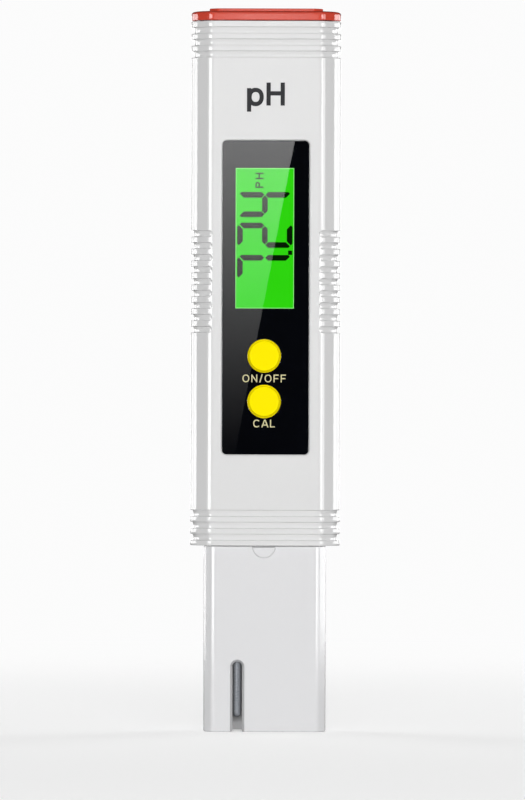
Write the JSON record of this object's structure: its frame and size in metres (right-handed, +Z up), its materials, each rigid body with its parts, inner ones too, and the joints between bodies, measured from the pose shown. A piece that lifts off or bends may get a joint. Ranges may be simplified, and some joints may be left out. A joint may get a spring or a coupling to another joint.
{
  "type": "pocket ph meter",
  "caption": "Slim pocket pH meter with ribbed white housing, glossy display panel, two push buttons, a pull-off battery cap and a narrower probe section.",
  "frame": {"origin": "middle of the probe end, the lowest face of the meter", "axes": "+Z up the length towards the battery cap, -Y the way the display faces, +X to the right of someone reading it"},
  "size_m": [0.0314, 0.017, 0.1511],
  "materials": {
    "white_plastic": "satin moulded ABS",
    "red_plastic": "glossy moulded ABS",
    "yellow_plastic": "smooth",
    "clear_cover": "polished clear acrylic",
    "black_film": "printed back face",
    "display_glass": "lit green liquid-crystal cell",
    "light_guide": "diffusing",
    "grey_plastic": "moulded",
    "switch_black": "moulded",
    "black_rubber": "matte",
    "board_green": "solder mask",
    "black_resin": "cast resin",
    "steel": "nickel plated",
    "contact_metal": "stamped sheet",
    "silver": "drawn wire",
    "probe_glass": "clear blown glass",
    "white_ceramic": "porous ceramic",
    "red_wire": "insulated wire",
    "black_wire": "insulated wire",
    "white_wire": "insulated wire",
    "blue_wire": "insulated wire"
  },
  "bodies": {
    "housing": {"front_shell": "white_plastic", "rear_shell": "white_plastic", "probe_housing": "white_plastic", "face_lens": "clear_cover", "face_mask": "black_film", "lcd_glass": "display_glass", "lcd_backlight": "light_guide", "lcd_frame": "grey_plastic", "battery_holder": "grey_plastic", "power_switch": "grey_plastic", "cal_switch": "grey_plastic", "zebra_strip": "black_rubber", "probe_gasket": "black_rubber", "electrode_bushing": "black_rubber", "main_board": "board_green", "controller_chip": "black_resin", "amplifier_chip": "black_resin", "board_screw_1": "steel", "board_screw_2": "steel", "board_screw_3": "steel", "board_screw_4": "steel", "shell_screw_lower": "steel", "shell_screw_upper": "steel", "battery_cell_1": "steel", "battery_cell_2": "steel", "battery_cell_3": "steel", "battery_cell_4": "steel", "battery_spring_1": "steel", "battery_spring_2": "steel", "crystal_can": "steel", "temperature_sensor": "steel", "electrode_wire": "silver", "reference_wire": "silver", "electrode_stem": "probe_glass", "electrode_bulb": "probe_glass", "filter_capacitor": "white_ceramic", "reference_junction": "white_ceramic", "battery_lead_positive": "red_wire", "battery_lead_negative": "black_wire", "electrode_lead": "white_wire", "sensor_lead": "blue_wire"},
    "power_button": {"power_button": "yellow_plastic", "power_plunger": "switch_black"},
    "cal_button": {"cal_button": "yellow_plastic", "cal_plunger": "switch_black"},
    "battery_cap": {"battery_cap": "red_plastic", "cap_seal": "black_rubber", "cap_contact_bridge": "contact_metal"}
  },
  "joints": [
    {"name": "power_press", "type": "slide", "parent": "housing", "child": "power_button", "axis": [0, 1, 0], "range_m": [0, 0.0005], "stiffness_N_per_m": 400},
    {"name": "cal_press", "type": "slide", "parent": "housing", "child": "cal_button", "axis": [0, 1, 0], "range_m": [0, 0.0005], "stiffness_N_per_m": 400},
    {"name": "battery_cap_pull", "type": "slide", "parent": "housing", "child": "battery_cap", "axis": [0, 0, 1], "range_m": [0, 0.012]}
  ]
}
